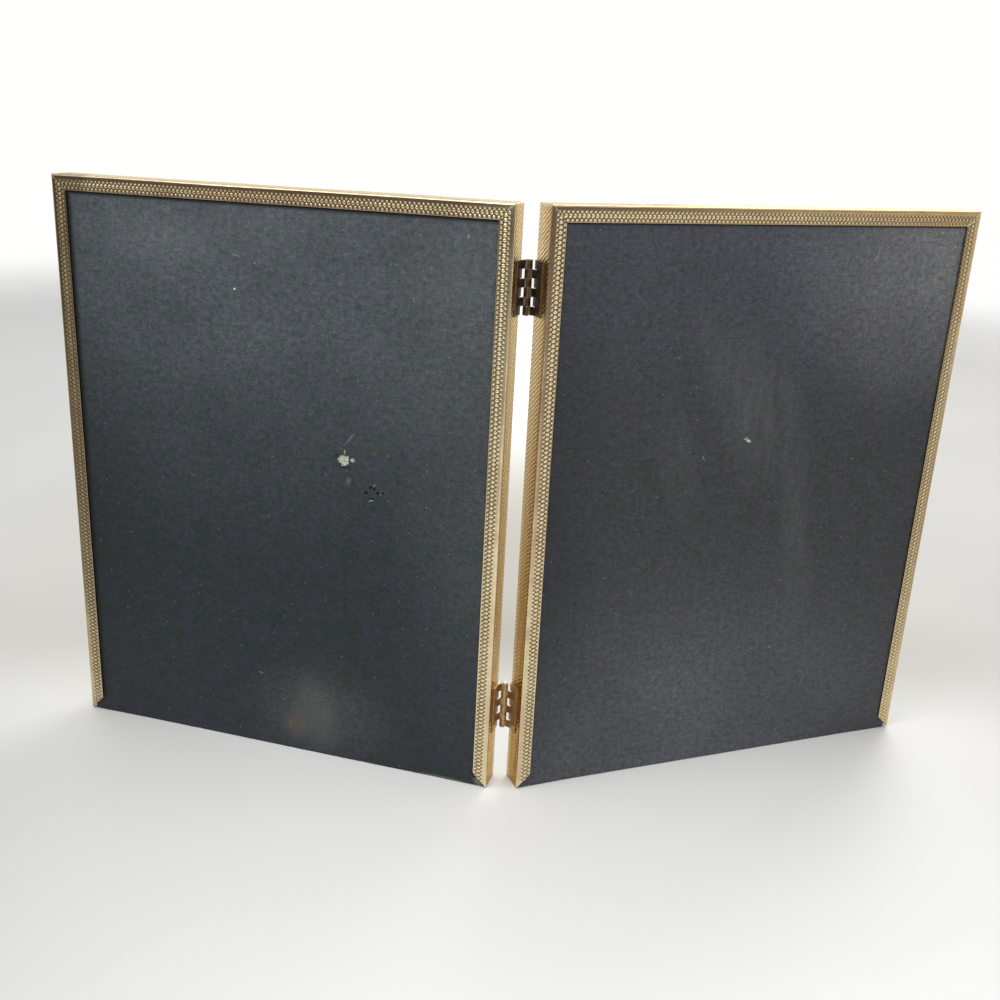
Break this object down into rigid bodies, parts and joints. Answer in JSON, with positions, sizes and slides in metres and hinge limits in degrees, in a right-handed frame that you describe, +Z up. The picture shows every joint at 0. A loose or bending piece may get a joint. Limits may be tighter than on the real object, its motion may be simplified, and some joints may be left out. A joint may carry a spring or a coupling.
{
  "type": "hinged double photo frame",
  "caption": "Two upright metal picture frames joined edge to edge by butt hinges, each with an embossed channel rim, glass and a board that slides out below.",
  "frame": {"origin": "middle of the base, where the bounding box's bottom face has its centre", "axes": "+Z up; +Y is the side that the pictures face; +X towards the right leaf as seen from behind (from -Y)"},
  "size_m": [0.4026, 0.0768, 0.256],
  "materials": {
    "rail_brass": "thin stamped brass-coloured sheet, embossed and aged, darker on the top rails",
    "hinge_bronze": "dark bronzed sheet, dull",
    "pin_steel": "plain bright wire",
    "key_steel": "plain zinc plate",
    "glass": "clear float glass",
    "insert_paper": "blank matt sheet",
    "filler_card": "raw corrugated card",
    "board_black": "black paper-faced board, matt and scuffed"
  },
  "bodies": {
    "left_leaf": {"left_rail_bottom": "rail_brass", "left_rail_top": "rail_brass", "left_rail_hinge_side": "rail_brass", "left_rail_outer": "rail_brass", "left_key_bottom_hinge_side": "key_steel", "left_key_top_hinge_side": "key_steel", "left_key_top_outer": "key_steel", "left_key_bottom_outer": "key_steel", "left_glass": "glass", "left_insert_sheet": "insert_paper", "left_filler_board": "filler_card", "top_hinge_left_plate": "hinge_bronze", "top_hinge_pin": "pin_steel", "bottom_hinge_left_plate": "hinge_bronze", "bottom_hinge_pin": "pin_steel"},
    "right_leaf": {"right_rail_bottom": "rail_brass", "right_rail_top": "rail_brass", "right_rail_hinge_side": "rail_brass", "right_rail_outer": "rail_brass", "right_key_bottom_hinge_side": "key_steel", "right_key_top_hinge_side": "key_steel", "right_key_top_outer": "key_steel", "right_key_bottom_outer": "key_steel", "right_glass": "glass", "right_insert_sheet": "insert_paper", "right_filler_board": "filler_card", "top_hinge_right_plate": "hinge_bronze", "bottom_hinge_right_plate": "hinge_bronze"},
    "left_board": {"left_backing_board": "board_black"},
    "right_board": {"right_backing_board": "board_black"}
  },
  "joints": [
    {"name": "leaf_fold", "type": "hinge", "parent": "left_leaf", "child": "right_leaf", "pos_m": [0, -0.02719, 0.128], "axis": [0, 0, 1], "range_deg": [-62, 143]},
    {"name": "left_board_slide", "type": "slide", "parent": "left_leaf", "child": "left_board", "axis": [0, 0, -1], "range_m": [0, 0.26]},
    {"name": "right_board_slide", "type": "slide", "parent": "right_leaf", "child": "right_board", "axis": [0, 0, -1], "range_m": [0, 0.26]}
  ]
}
